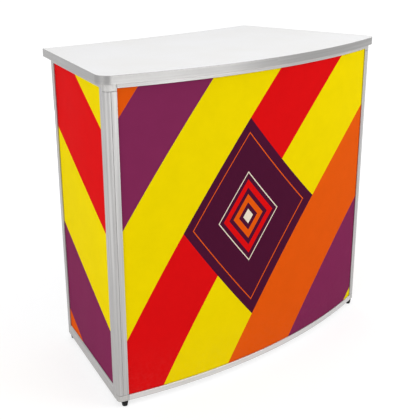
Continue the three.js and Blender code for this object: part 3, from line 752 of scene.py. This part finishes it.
sheet = dict(edge=0.0003, stations=129, looksOut=0.5)
sideFrame = dict(
    start=0.0254, stile=0.020, rearStile=0.025, depth=0.036, wall=0.0025, edge=0.003, topRail=0.015,
    bottomRail=0.038, ledge=0.006, ledgeTip=0.0012, round=0.001, lipRound=0.0008, mouthRound=0.0005,
    floorRound=0.0003, coreRound=0.0008, stileSoft=0.0003, railSoft=0.0002, stileSteps=6,
)
stileEnd = sideFrame["start"] + sideFrame["stile"]
rearStileStart = bar["sideLength"] - sideFrame["rearStile"]
panelInner = bar["sideInset"] + bar["panelThickness"]
slotOuter = bar["sideInset"] - slotPlay
slotInner = panelInner + slotPlay
slotFloor = bar["postWidth"] - slotDepth


def readBack(items, field, width=3, kind=float):
    flat = np.empty(len(items) * width, kind)
    items.foreach_get(field, flat)
    return flat.reshape(-1, width)


def addPrint(piece, alongAt, outward):
    # The print map follows the sheet: along and height in metres. Faces that don't look out stay unprinted.
    mesh = piece.data
    spots = readBack(mesh.vertices, "co")
    flat = np.stack([alongAt(spots), spots[:, 2]], -1)
    owners = readBack(mesh.loops, "vertex_index", 1, int).ravel()
    mesh.uv_layers.new(name="print").data.foreach_set("uv", flat[owners].astype(np.float32).ravel())
    way = outward(readBack(mesh.polygons, "center"))
    looksOut = (readBack(mesh.polygons, "normal") * way).sum(1) > sheet["looksOut"]
    mesh.polygons.foreach_set("material_index", np.where(looksOut, 0, 1).astype(np.int32))


def makeFrontPanel():
    low, high = heights("front_panel")
    section = softBlock(panelRearRadius, low, panelFrontRadius, high, sheet["edge"])
    radii = (panelFrontRadius, panelRearRadius)
    shape = roundBow(section, slotFloor + slotPlay, radii, sheet["edge"] / 2, sheet["stations"])
    piece = makePiece("frontPanelSheet", [shape], "front_frame", "frontPrint", "front_panel")

    def roundAlong(spots):
        return panelFrontRadius * np.arctan2(spots[:, 0], bowCentreY - spots[:, 1])

    addPrint(piece, roundAlong, lambda spots: unit((spots - [0, bowCentreY, 0]) * [1, 1, 0]))


def makeSidePanel(side, hand):
    low, high = heights(f"{side}_panel")
    reach = slotDepth - slotPlay
    plan = softBlock(bar["sideInset"], stileEnd - reach, panelInner, rearStileStart + reach, sheet["edge"])
    shape = carry(plan, softEnds(low, high, sheet["edge"] / 2), uprightPlace(hand))
    piece = makePiece(f"{side}PanelSheet", [shape], f"{side}_side", "sidePrint", f"{side}_panel")
    origin, inward, rearward = sideWays(hand)
    addPrint(piece, lambda spots: (spots - origin) @ rearward, lambda spots: -inward)


makeFrontPanel()
for side, hand in hands.items():
    makeSidePanel(side, hand)
print("panels printed")


# Front frame

rail = dict(
    depth=0.020, lip=0.0015, backRound=0.001, mouthRound=0.0006, floorRound=0.0004, soft=0.0004,
    stations=97,
)
post = dict(
    radius=0.015, grooveWidth=0.0022, grooveDepth=0.0013, grooveSetback=0.002, grooveRound=0.00015,
    mouthRound=0.0008, floorRound=0.0004, backRound=0.001, jointSoft=0.0007, blockSoft=0.0009,
    cornerSteps=18,
)
slotEnds = np.array([slotFloor, bar["postWidth"]])
slotFront = rearwardAt(panelFrontRadius, slotEnds).min() - slotPlay
slotRear = rearwardAt(panelRearRadius, slotEnds).max() + slotPlay


def makeFrontRail(node, outer, groove, finish):
    # Section with a panel groove, in radius and height, carried round the bow between the corner blocks
    rear = bowRadius - rail["depth"]
    floor = groove - math.copysign(slotDepth, groove - outer)
    inFront = panelFrontRadius + slotPlay
    behind = panelRearRadius - slotPlay
    lip, back, mouth, base = rail["lip"], rail["backRound"], rail["mouthRound"], rail["floorRound"]
    section = softOutline([
        (rear, outer, back), (bowRadius, outer, lip), (bowRadius, groove, lip), (inFront, groove, mouth),
        (inFront, floor, base), (behind, floor, base), (behind, groove, mouth), (rear, groove, back)])
    gap = bar["postWidth"] + fitGap
    shape = roundBow(section, gap, (bowRadius, rear), rail["soft"], rail["stations"])
    dress(node, "front_frame", finish, shape)


def postSection(grooved):
    # Rounded outer corner, a fine groove beside each end of the round, and the panel slot
    width, depth = bar["postWidth"], bar["postDepth"]
    fine, mouth, base, back = post["grooveRound"], post["mouthRound"], post["floorRound"], post["backRound"]
    half = post["grooveWidth"] / 2
    middle = post["radius"] + post["grooveSetback"] + half
    groove = [(middle - half, 0, fine), (middle, post["grooveDepth"], fine), (middle + half, 0, fine)]
    if not grooved:
        groove = []
    slot = [(width, 0, mouth), (width, slotFront, mouth), (slotFloor, slotFront, base),
            (slotFloor, slotRear, base), (width, slotRear, mouth)]
    sideGroove = [(b, a, radius) for a, b, radius in groove[::-1]]
    corners = [(0, 0, post["radius"]), *groove, *slot, (width, depth, back), (0, depth, back), *sideGroove]
    return softOutline(corners, post["cornerSteps"])


def makePost(side, hand):
    low, high = heights(f"front_{side}_post")
    stretches = {
        "post": ("profile", low, high, post["jointSoft"]),
        "bottom_block": ("block", frameBottom, low - fitGap, post["blockSoft"]),
        "top_block": ("block", high + fitGap, frameTop, post["blockSoft"]),
    }
    for part, (finish, floor, ceiling, soft) in stretches.items():
        ends = softEnds(floor, ceiling, soft)
        # The rims at the joints are darkened with dirt and painted shade
        shape = carry(postSection(finish == "profile"), ends, uprightPlace(hand), rimWearAndShade=-1.0)
        name = side + part.title().replace("_", "")
        makePiece(name, [shape], "front_frame", finish, f"front_{side}_{part}")


# The bottom rail gets the lighter rail finish, which is painted light
makeFrontRail("front_bottom_rail", frameBottom, heights("front_bottom_rail")[1], "rail")
makeFrontRail("front_top_rail", frameTop, heights("front_top_rail")[0], "profile")
for side, hand in hands.items():
    makePost(side, hand)
print("front frame made")


# Side frames

fittings = dict(
    pin=0.005, pinFoot=0.0004, pinTip=0.0024, pinArcSteps=8, bushBore=0.0055, bush=0.009,
    bushMouth=0.0008, bushRound=0.0005, bushSteps=40, strike=0.013, strikeSteps=48, magnet=0.008,
    magnetRing=0.0058, ringDepth=0.0004, magnetRim=0.0005, ringRound=0.0002, magnetSteps=40,
    discRound=0.0003,
)


def middleOf(node):
    low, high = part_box(node)
    return (low.x + high.x) / 2, (low.y + high.y) / 2, low.z, high.z


def pocketFor(node, radius, upwards):
    # Centre on the face, radius and depth of the pocket that a disc sits in
    x, y, low, high = middleOf(node)
    return (x, y, low if upwards else high), radius + fitGap, high - low + fitGap


def slotCorners(face, floor):
    mouth, base = sideFrame["mouthRound"], sideFrame["floorRound"]
    outer = [(slotOuter, face, mouth), (slotOuter, floor, base)]
    return outer + [(slotInner, floor, base), (slotInner, face, mouth)]


def makeStile(side, hand, name, face, back):
    # Tube that holds the panel at its face and is rounded at its outer back edge
    depth, edge, wall = sideFrame["depth"], sideFrame["round"], sideFrame["wall"]
    slot = slotCorners(face, face + math.copysign(slotDepth, back - face))
    corners = [*slot, (depth, face, edge), (depth, back, edge), (0, back, sideFrame["edge"]), (0, face, edge)]
    low, high = min(face, back) + wall, max(face, back) - wall
    core = softBlock(slotInner + wall, low, depth - wall, high, sideFrame["coreRound"])
    ends = softEnds(frameBottom, frameTop, sideFrame["stileSoft"])
    shape = hollow(softOutline(corners, sideFrame["stileSteps"]), core, ends, uprightPlace(hand))
    dress(f"{side}_{name}_stile", f"{side}_side", "profile", shape)


def makeSideRails(side, hand):
    # Both rails hold the panel in a slot. The lower one has a sloping ledge, the upper one a pocket for the
    # magnet.
    depth, edge, base = sideFrame["depth"], sideFrame["round"], sideFrame["floorRound"]
    low = frameTop - sideFrame["topRail"]
    high = frameBottom + sideFrame["bottomRail"]
    upper = [(0, low, sideFrame["lipRound"]), *slotCorners(low, low + slotDepth), (depth, low, edge),
             (depth, frameTop, edge), (0, frameTop, edge)]
    lower = [(0, frameBottom, edge), (depth, frameBottom, edge), (depth, high, edge),
             *slotCorners(high, high - slotDepth)[:0:-1], (slotOuter, high, base),
             (slotOuter - sideFrame["ledgeTip"], high, base), (0, high - sideFrame["ledge"], edge)]
    ends = softEnds(stileEnd + fitGap, rearStileStart - fitGap, sideFrame["railSoft"])
    top, bottom = (carry(softOutline(corners), ends, railPlace(hand)) for corners in (upper, lower))
    spots = top["points"][top["quads"]]
    lying = (spots[..., 2] > frameTop - making["flat"]).all(1)
    face = top["quads"][np.argmax(lying * np.ptp(spots, axis=1).max(1))].tolist()
    top = pocketed(top, face, [pocketFor(f"{side}_magnet", fittings["magnet"], False)])
    dress(f"{side}_top_rail", f"{side}_side", "profile", top)
    dress(f"{side}_bottom_rail", f"{side}_side", "profile", bottom)


gusset = dict(
    leg=0.058, width=0.018, thickness=0.002, setback=0.003, corner=0.003, soft=0.0004, firstTurn=0.5,
    nextTurn=1.3,
)
panScrew = dict(radius=0.0038, height=0.0018, arm=0.0021, slot=0.00055, recess=0.0011)


def makeGussets(side, hand):
    leg, width, setback = gusset["leg"], gusset["width"], gusset["setback"]
    inner = sideFrame["depth"] + fitGap
    face = inner + gusset["thickness"]
    ends = softEnds(inner, face, gusset["soft"])
    legs = np.array([(0, 0), (leg, 0), (leg, width), (width, leg), (0, leg)])
    holes = np.array([(width / 2, width / 2), (leg - width / 2, width / 2), (width / 2, leg - width / 2)])
    _, inward, _ = sideWays(hand)
    up = np.array([0, 0, 1])
    heads = []
    for rearName, rearward, way in (("front", sideFrame["start"], 1), ("rear", bar["sideLength"], -1)):
        for levelName, height, rise in (("lower", frameBottom, 1), ("upper", frameTop, -1)):
            turn = np.array([way, rise])
            spots, screws = ([rearward, height] + (setback + part) * turn for part in (legs, holes))
            outline = softOutline(np.column_stack([spots, np.full(len(spots), gusset["corner"])]))
            shape = carry(outline, ends, platePlace(hand))
            dress(f"{side}_{rearName}_{levelName}_gusset", f"{side}_side", "steel", shape)
            for count, (along, level) in enumerate(screws):
                angle = gusset["firstTurn"] + gusset["nextTurn"] * count
                start = math.cos(angle) * up + math.sin(angle) * np.cross(inward, up)
                heads.append(crossScrew(corner(hand, face, along, level), inward, start, panScrew))
    makePiece(f"{side}GussetScrews", heads, f"{side}_side", "screw")


for side, hand in hands.items():
    makeStile(side, hand, "front", stileEnd, sideFrame["start"])
    makeStile(side, hand, "rear", rearStileStart, bar["sideLength"])
    makeSideRails(side, hand)
    makeGussets(side, hand)
print("side frames made")


# Hinges

hinge = dict(
    height=0.080, knuckles=5, radius=0.004, leafWidth=0.024, leaf=0.0012, clearance=0.0004,
    pin=0.002, pinHead=0.0032, headHeight=0.002, soft=0.0002, leafCorner=0.003,
    leafEdge=0.0003, arcPoints=40, joint=0.00005, rubbed=0.2, pinAxis=0.0003,
    headRound=0.0012, neckRound=0.0002, pinRound=0.0001, pinSteps=28,
    # Screws: distance from the knuckles and share of the height
    holes=[(-0.006, 0.13), (-0.017, 0.31), (-0.017, 0.69), (-0.006, 0.87)],
)
flushScrew = dict(radius=0.0031, height=0.00014, arm=0.0019, slot=0.0005, recess=0.0001)
pivotInward = bar["postWidth"] + hinge["clearance"] + hinge["radius"]
pivotRearward = (bar["postDepth"] + sideFrame["start"]) / 2
leafEnd = pivotInward - hinge["radius"] - fitGap


def knuckleSection(low, high):
    # A leaf's edge that runs into a barrel round the pin: two straight sides and an arc between them
    radius = hinge["radius"]
    start = math.pi - math.asin(low / radius)
    finish = 3 * math.pi - math.asin(high / radius)
    barrel = arc((pivotInward, pivotRearward), radius, start, finish, hinge["arcPoints"])
    lowJoint, highJoint = barrel[[0, -1], 0] - hinge["joint"]
    sides = [(leafEnd, low, -1), (lowJoint, low, -1), (highJoint, high, 1), (leafEnd, high, 1)]
    sides = np.array([(inward, pivotRearward + offset, 0, way) for inward, offset, way in sides])
    outline = np.concatenate([sides[:2], barrel, sides[2:]])
    return np.column_stack([outline, np.full(len(outline), hinge["rubbed"] / radius)])


def leafShapes(hand, bottom, firstKnuckle, low, high):
    wide, fine, top = hinge["leafCorner"], hinge["leafEdge"], bottom + hinge["height"]
    plate = softBlock(leafEnd - hinge["leafWidth"], bottom, leafEnd, top, wide, fine, fine, wide)
    ends = softEnds(pivotRearward + low, pivotRearward + high, hinge["soft"])
    shapes = [carry(plate, ends, railPlace(hand))]
    pitch = hinge["height"] / hinge["knuckles"]
    for index in range(firstKnuckle, hinge["knuckles"], 2):
        floor = bottom + index * pitch + fitGap / 2
        ends = softEnds(floor, floor + pitch - fitGap, hinge["soft"])
        shapes.append(carry(knuckleSection(low, high), ends, uprightPlace(hand)))
    return shapes


def pinShape(hand, bottom):
    # A rod with a rounded head at both ends, listed from its middle upwards and mirrored
    half, head = hinge["height"] / 2, hinge["pinHead"]
    upper = [(hinge["pin"], half + fitGap, hinge["pinRound"]), (head, half + fitGap, hinge["neckRound"]),
             (head, half + hinge["headHeight"], hinge["headRound"])]
    both = [(a, -b, radius) for a, b, radius in upper[::-1]] + upper
    corners = [(a, bottom + half + b, radius) for a, b, radius in both]
    x, y, _ = corner(hand, pivotInward, pivotRearward, 0.0)
    return turned(corners, x, y, hinge["pinSteps"], axis=hinge["pinAxis"])


def makeHinges(side, hand):
    near = hinge["clearance"] / 2
    far = near + hinge["leaf"]
    _, _, rearWay = sideWays(hand)
    # Leaf, its body, its first knuckle, its faces, and the face and way of its screws
    leaves = (("post", "front_frame", 0, -far, -near, -near, rearWay),
              ("side", f"{side}_side", 1, near, far, near, -rearWay))
    heads = {"post": [], "side": []}
    for level in ("lower", "middle", "upper"):
        node = f"{side}_{level}_hinge"
        bottom = heights(f"{node}_post_leaf")[0]
        for leaf, body, first, low, high, face, way in leaves:
            dress(f"{node}_{leaf}_leaf", body, "steel", *leafShapes(hand, bottom, first, low, high))
            for inward, share in hinge["holes"]:
                height = bottom + share * hinge["height"]
                spot = corner(hand, pivotInward - hinge["radius"] + inward, pivotRearward + face, height)
                heads[leaf].append(crossScrew(spot, way, (0, 0, 1), flushScrew))
        dress(f"{node}_pin", "front_frame", "steel", pinShape(hand, bottom))
    for leaf, body, *_ in leaves:
        makePiece(f"{side}{leaf.title()}LeafScrews", heads[leaf], body, "screw")


for side, hand in hands.items():
    makeHinges(side, hand)
print("hinges made")


# Countertop

counter = dict(
    overhangFront=0.013, overhangSide=0.019, overhangRear=0.024, hollow=0.024,
    frontCorner=0.042, rearCorner=0.006, band=0.0025, bandSoft=0.0007, bandInner=0.0004,
    bandWear=0.0008, boardGap=0.0001, boardSoft=0.0006, bowSteps=64, cornerSteps=16,
    trim=0.00015,  # keeps the smooth corners within the solids' box
)


def topOutline():
    # Half of the outer edge from the middle of the front to the middle of the rear, then its mirror image:
    # the bow, a round corner, the splayed side, a round corner and the hollow rear
    frontRound, rearRound = counter["frontCorner"], counter["rearCorner"]
    reach = bowRadius + counter["overhangFront"]
    frontAngle = angleAtInward(reach - frontRound, frontRound - counter["overhangSide"])
    frontCentre = bowPlace(reach - frontRound, 0.0, frontAngle * bowRadius)[:2]
    tip = corner(1, -counter["overhangSide"], bar["sideLength"] + counter["overhangRear"], 0.0)
    rearRadius = (tip[0] ** 2 + counter["hollow"] ** 2) / (2 * counter["hollow"])
    hollowCentre = np.array([0.0, tip[1] - counter["hollow"] + rearRadius])
    start = corner(1, rearRound - counter["overhangSide"], 0.0, 0.0)[:2]
    along = np.array([-sinSplay, cosSplay])
    toStart = start - hollowCentre
    lean = toStart @ along
    slide = -lean - math.sqrt(lean ** 2 - toStart @ toStart + (rearRadius + rearRound) ** 2)
    rearCentre = start + slide * along
    rearTurn = math.atan2(*(hollowCentre - rearCentre)[::-1])
    quarter = math.pi / 2
    steps, cornerSteps = counter["bowSteps"], counter["cornerSteps"]
    front = arc((0, bowCentreY), reach, -quarter, frontAngle - quarter, steps)
    frontCorner = arc(frontCentre, frontRound, frontAngle - quarter, bar["splay"], cornerSteps)
    rearCorner = arc(rearCentre, rearRound, bar["splay"], rearTurn, cornerSteps)
    rear = arc(hollowCentre, rearRadius, rearTurn - math.pi, -quarter, steps)
    rear[:, 2:] *= -1  # the board is outside this circle
    half = np.concatenate([front, frontCorner[1:], rearCorner, rear[1:]])
    half[:, :2] -= counter["trim"] * half[:, 2:]
    return np.concatenate([half, half[1:-1][::-1] * [-1, 1, -1, 1]])


def makeBoard(outline):
    # The board fills the outline within the band. Its faces are flat and its rims are slightly rounded.
    edge, normals = outline[:, :2], outline[:, 2:]
    inset = counter["band"] + counter["boardGap"]
    board = np.column_stack([edge - inset * normals, normals, np.zeros(len(outline))])
    ends = softEnds(topUnderside, topFace, counter["boardSoft"])
    shape = carry(board, ends, lambda a, b, height: np.stack([a, b, height], -1))
    pockets = [pocketFor(f"{side}_{node}", fittings[size], True) for side in hands
               for node, size in (("locating_bush", "bush"), ("strike_plate", "strike"))]
    underside = min(shape["caps"], key=lambda cap: shape["points"][cap[0]][2])
    dress("countertop_board", "countertop", "laminate", pocketed(shape, underside, pockets))


def makeBand(outline):
    # A thin rounded section carried once round the edge
    soft, inner = counter["bandSoft"], counter["bandInner"]
    section = softBlock(-counter["band"], topUnderside, 0.0, topFace, inner, soft, soft, inner)
    dress("countertop_edge_band", "countertop", "band", closedRing(outline, section, counter["bandWear"]))


def makeFittings(side):
    x, y, low, high = middleOf(f"{side}_locating_pin")
    corners = [(fittings["pin"], low, fittings["pinFoot"]), (fittings["pin"], high, fittings["pinTip"])]
    shape = turned(corners, x, y, arcSteps=fittings["pinArcSteps"])
    dress(f"{side}_locating_pin", "front_frame", "steel", shape)

    x, y, low, high = middleOf(f"{side}_locating_bush")
    mouth, edge = fittings["bushMouth"], fittings["bushRound"]
    section = softBlock(fittings["bushBore"], low, fittings["bush"], high, mouth, edge, edge, edge)
    circle = arc((x, y), 0.0, 0.0, 2 * math.pi, fittings["bushSteps"] + 1)[:-1]
    dress(f"{side}_locating_bush", "countertop", "bush", closedRing(circle, section, making["roundWear"]))

    x, y, low, high = middleOf(f"{side}_strike_plate")
    radius, edge = fittings["strike"], fittings["discRound"]
    shape = turned([(radius, low, edge), (radius, high, edge)], x, y, fittings["strikeSteps"])
    dress(f"{side}_strike_plate", "countertop", "steel", shape)

    x, y, low, high = middleOf(f"{side}_magnet")
    radius, ring, floor = fittings["magnet"], fittings["magnetRing"], high - fittings["ringDepth"]
    corners = [(radius, low, edge), (radius, high, fittings["magnetRim"]),
               (ring, high, fittings["ringRound"]), (ring, floor, making["axisRound"])]
    dress(f"{side}_magnet", f"{side}_side", "magnet", turned(corners, x, y, fittings["magnetSteps"]))


outerEdge = topOutline()
makeBoard(outerEdge)
makeBand(outerEdge)
for side in hands:
    makeFittings(side)
print("countertop made")


# Feet

foot = dict(
    top=0.011, sole=0.0085, height=0.020, rim=0.006, recess=0.0045, recessDepth=0.007, recessRound=0.0004,
    mouthRound=0.0006, soleRound=0.0012, waistRound=0.0025, topRound=0.0008, arcSteps=6, steps=40,
    frontInward=0.025, rearInward=0.015,
)


def makeFoot(name, node, body, spot):
    # Tapered bumper with a straight rim and a recess in the sole for its screw
    x, y, _ = spot
    deep, recess, top = foot["recessDepth"], foot["recess"], foot["top"]
    corners = [(recess, deep, foot["recessRound"]), (recess, 0, foot["mouthRound"]),
               (foot["sole"], 0, foot["soleRound"]), (top, foot["height"] - foot["rim"], foot["waistRound"]),
               (top, foot["height"] - fitGap, foot["topRound"])]
    makePiece(name, [turned(corners, x, y, foot["steps"], foot["arcSteps"])], body, "rubber", node)
    makePiece(f"{name}Screw", [crossScrew((x, y, deep), (0, 0, -1), (1, 0, 0), panScrew)], body, "screw")


rearFoot = (rearStileStart + bar["sideLength"]) / 2
for side, hand in hands.items():
    spot = corner(hand, foot["frontInward"], bar["postDepth"] / 2, 0.0)
    makeFoot(f"{side}FrontFoot", f"front_{side}_foot", "front_frame", spot)
    spot = corner(hand, foot["rearInward"], rearFoot, 0.0)
    makeFoot(f"{side}RearFoot", f"{side}_rear_foot", f"{side}_side", spot)
print("feet made")


# Floor, light and camera

studio = dict(
    floorSize=30.0, floor=shade(246, 246, 246), seenFloor=shade(168, 168, 169), floorRough=0.9,
    nearLift=0.68, farLift=0.86, near=1.0, far=3.5, ambient=0.62,
)
# Lamps: place, aim, size and power
lamps = {
    "frontSoftbox": ((1.4, -2.3, 2.2), (0.1, -0.2, 0.8), (1.6, 1.2), 24.0),
    "metalStrip": ((0.2, -3.6, 0.55), (0.0, -0.3, 0.8), (4.4, 0.9), 27.5),
    "leftSoftbox": ((-4.2, -0.4, 2.0), (-0.4, 0.0, 0.5), (2.4, 2.4), 49.0),
    "overhead": ((0.0, -0.6, 4.4), (0.0, 0.0, 1.0), (3.6, 3.6), 30.5),
    "rearFill": ((1.5, 3.6, 0.55), (0.0, 0.0, 0.55), (1.6, 0.9), 38.0),
}
view = dict(
    place=(-1.7917, -2.0379, 1.4533), yaw=0.7206, pitch=0.3483, focalPixels=808.36,
    imageWidth=420, sensor=36.0,
)


def seenRay(tree):
    # 1 for rays that show the background: straight from the camera, or by way of a mirror or glass
    path = newNode(tree, "LightPath").outputs
    seen = sums("MAXIMUM", path["Is Camera Ray"], path["Is Glossy Ray"])
    return sums("MAXIMUM", seen, path["Is Transmission Ray"])


def makeWorld():
    scene.world = bpy.data.worlds.new("studio")
    scene.world.use_nodes = True
    tree = scene.world.node_tree
    tree.nodes.clear()
    strength = remap(seenRay(tree), 0.0, 1.0, studio["ambient"], 1.0)
    light = put("Background", {"Color": (1.0, 1.0, 1.0, 1.0), "Strength": strength})[0]
    put("OutputWorld", {0: light})


def makeFloor():
    half = studio["floorSize"] / 2
    mesh = bpy.data.meshes.new("floor")
    spots = [(-half, -half, 0), (half, -half, 0), (half, half, 0), (-half, half, 0)]
    mesh.from_pydata(spots, [], [(0, 1, 2, 3)])
    material = bpy.data.materials.new("paleFloor")
    material.use_nodes = True
    tree = material.node_tree
    shader = tree.nodes["Principled BSDF"]
    seen = seenRay(tree)
    feed(shader.inputs["Base Color"], mixed(seen, studio["floor"], studio["seenFloor"]))
    feed(shader.inputs["Roughness"], studio["floorRough"])
    feed(shader.inputs["Specular IOR Level"], 0.0)
    here = newNode(tree, "TexCoord").outputs["Object"]
    distance = put("VectorMath", {0: here}, operation="LENGTH")["Value"]
    lift = remap(distance, studio["near"], studio["far"], studio["nearLift"], studio["farLift"])
    glow = put("Emission", {"Strength": times(seen, lift)})[0]
    both = put("AddShader", {0: shader.outputs[0], 1: glow})[0]
    below = newNode(tree, "NewGeometry").outputs["Backfacing"]
    clear = newNode(tree, "BsdfTransparent").outputs[0]
    shown = put("MixShader", {0: below, 1: both, 2: clear})[0]  # seen through from below
    feed(tree.nodes["Material Output"].inputs[0], shown)
    mesh.materials.append(material)
    floor = linked("floor", mesh)


def makeLamps():
    for name, (place, aim, size, power) in lamps.items():
        light = bpy.data.lights.new(name, "AREA")
        light.shape = "RECTANGLE"
        light.size, light.size_y = size
        light.energy = power
        lamp = linked(name, light)
        x, y, z = np.array(aim) - np.array(place)
        lamp.location = place
        lamp.rotation_euler = (math.atan2(math.hypot(x, y), -z), 0.0, math.atan2(-x, y))
        lamp.visible_camera = False
        lamp.visible_diffuse = name != "metalStrip"  # this one is for the highlights on the metal alone


def makeCamera():
    lens = bpy.data.cameras.new("photoView")
    lens.sensor_width = view["sensor"]
    lens.lens = view["focalPixels"] / view["imageWidth"] * view["sensor"]
    camera = linked("photoView", lens)
    camera.location = view["place"]
    camera.rotation_euler = (math.pi / 2 - view["pitch"], 0.0, -view["yaw"])
    scene.camera = camera


makeWorld()
makeFloor()
makeLamps()
makeCamera()
scene.view_settings.view_transform = "Standard"
print("studio ready")
